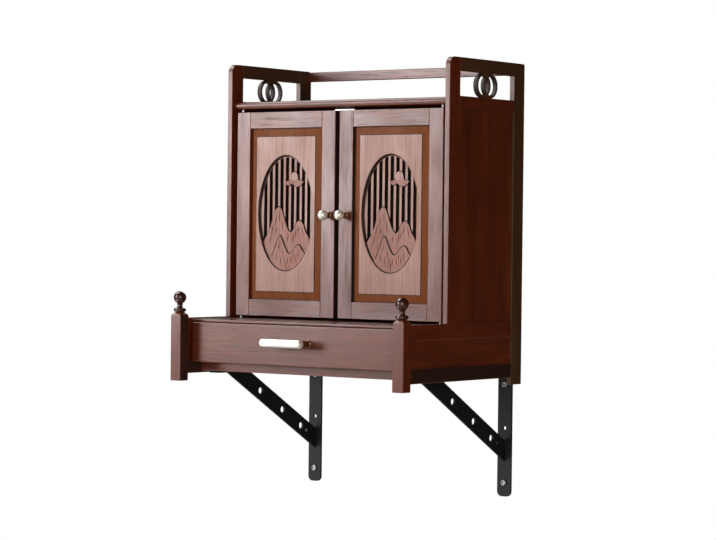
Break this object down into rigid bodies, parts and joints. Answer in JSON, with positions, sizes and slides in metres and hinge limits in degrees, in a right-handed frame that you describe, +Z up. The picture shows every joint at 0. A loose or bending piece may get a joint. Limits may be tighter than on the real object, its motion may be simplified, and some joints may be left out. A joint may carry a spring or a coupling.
{
  "type": "wall-hung altar cabinet",
  "caption": "Small household altar cabinet of dark wood hung on a wall: carved double doors, open gallery above, deeper base with a drawer, on steel brackets.",
  "frame": {"origin": "on the wall plane, on the cabinet's centre line, level with the top of the table board", "axes": "+X to the right across the cabinet, +Y into the wall, +Z up"},
  "size_m": [0.478, 0.363, 0.7285],
  "materials": {
    "dark_wood": "dark red-brown varnish, satin gloss, fine straight grain",
    "side_panel_wood": "red-brown varnish, satin",
    "hidden_wood": "thin brown stain, dull",
    "carved_wood": "pinkish brown stain, satin, lighter on the chamfers",
    "brass": "polished, pale gold",
    "black_steel": "black paint, satin",
    "zinc": "bright zinc plate"
  },
  "bodies": {
    "cabinet": {"left_front_stile": "dark_wood", "left_back_stile": "dark_wood", "left_top_rail": "dark_wood", "left_roof_rail": "dark_wood", "left_ring_ornament": "dark_wood", "left_side_panel": "side_panel_wood", "left_base_top_rail": "dark_wood", "left_base_panel": "side_panel_wood", "left_base_bottom_rail": "dark_wood", "left_front_post": "dark_wood", "left_finial": "dark_wood", "right_front_stile": "dark_wood", "right_back_stile": "dark_wood", "right_top_rail": "dark_wood", "right_roof_rail": "dark_wood", "right_ring_ornament": "dark_wood", "right_side_panel": "side_panel_wood", "right_base_top_rail": "dark_wood", "right_base_panel": "side_panel_wood", "right_base_bottom_rail": "dark_wood", "right_front_post": "dark_wood", "right_finial": "dark_wood", "roof_board": "dark_wood", "gallery_back_rail": "dark_wood", "back_panel": "hidden_wood", "table_board": "dark_wood", "base_sill": "dark_wood", "base_floor": "hidden_wood", "left_bracket_upright": "black_steel", "left_bracket_arm": "black_steel", "left_bracket_strut": "black_steel", "left_upper_wall_screw": "zinc", "left_lower_wall_screw": "zinc", "right_bracket_upright": "black_steel", "right_bracket_arm": "black_steel", "right_bracket_strut": "black_steel", "right_upper_wall_screw": "zinc", "right_lower_wall_screw": "zinc"},
    "left_door": {"left_door_hinge_stile": "dark_wood", "left_door_meeting_stile": "dark_wood", "left_door_top_rail": "dark_wood", "left_door_bottom_rail": "dark_wood", "left_door_carved_panel": "carved_wood", "left_door_knob": "brass", "left_door_top_pin": "zinc", "left_door_bottom_pin": "zinc"},
    "right_door": {"right_door_hinge_stile": "dark_wood", "right_door_meeting_stile": "dark_wood", "right_door_top_rail": "dark_wood", "right_door_bottom_rail": "dark_wood", "right_door_carved_panel": "carved_wood", "right_door_knob": "brass", "right_door_top_pin": "zinc", "right_door_bottom_pin": "zinc"},
    "drawer": {"drawer_front": "dark_wood", "drawer_left_side": "hidden_wood", "drawer_right_side": "hidden_wood", "drawer_back": "hidden_wood", "drawer_bottom": "hidden_wood", "drawer_handle": "brass"}
  },
  "joints": [
    {"name": "left_door_hinge", "type": "hinge", "parent": "cabinet", "child": "left_door", "pos_m": [-0.207, -0.208, 0], "axis": [0, 0, -1], "range_deg": [0, 90]},
    {"name": "right_door_hinge", "type": "hinge", "parent": "cabinet", "child": "right_door", "pos_m": [0.207, -0.208, 0], "axis": [0, 0, 1], "range_deg": [0, 90]},
    {"name": "drawer_slide", "type": "slide", "parent": "cabinet", "child": "drawer", "axis": [0, -1, 0], "range_m": [0, 0.2]}
  ]
}
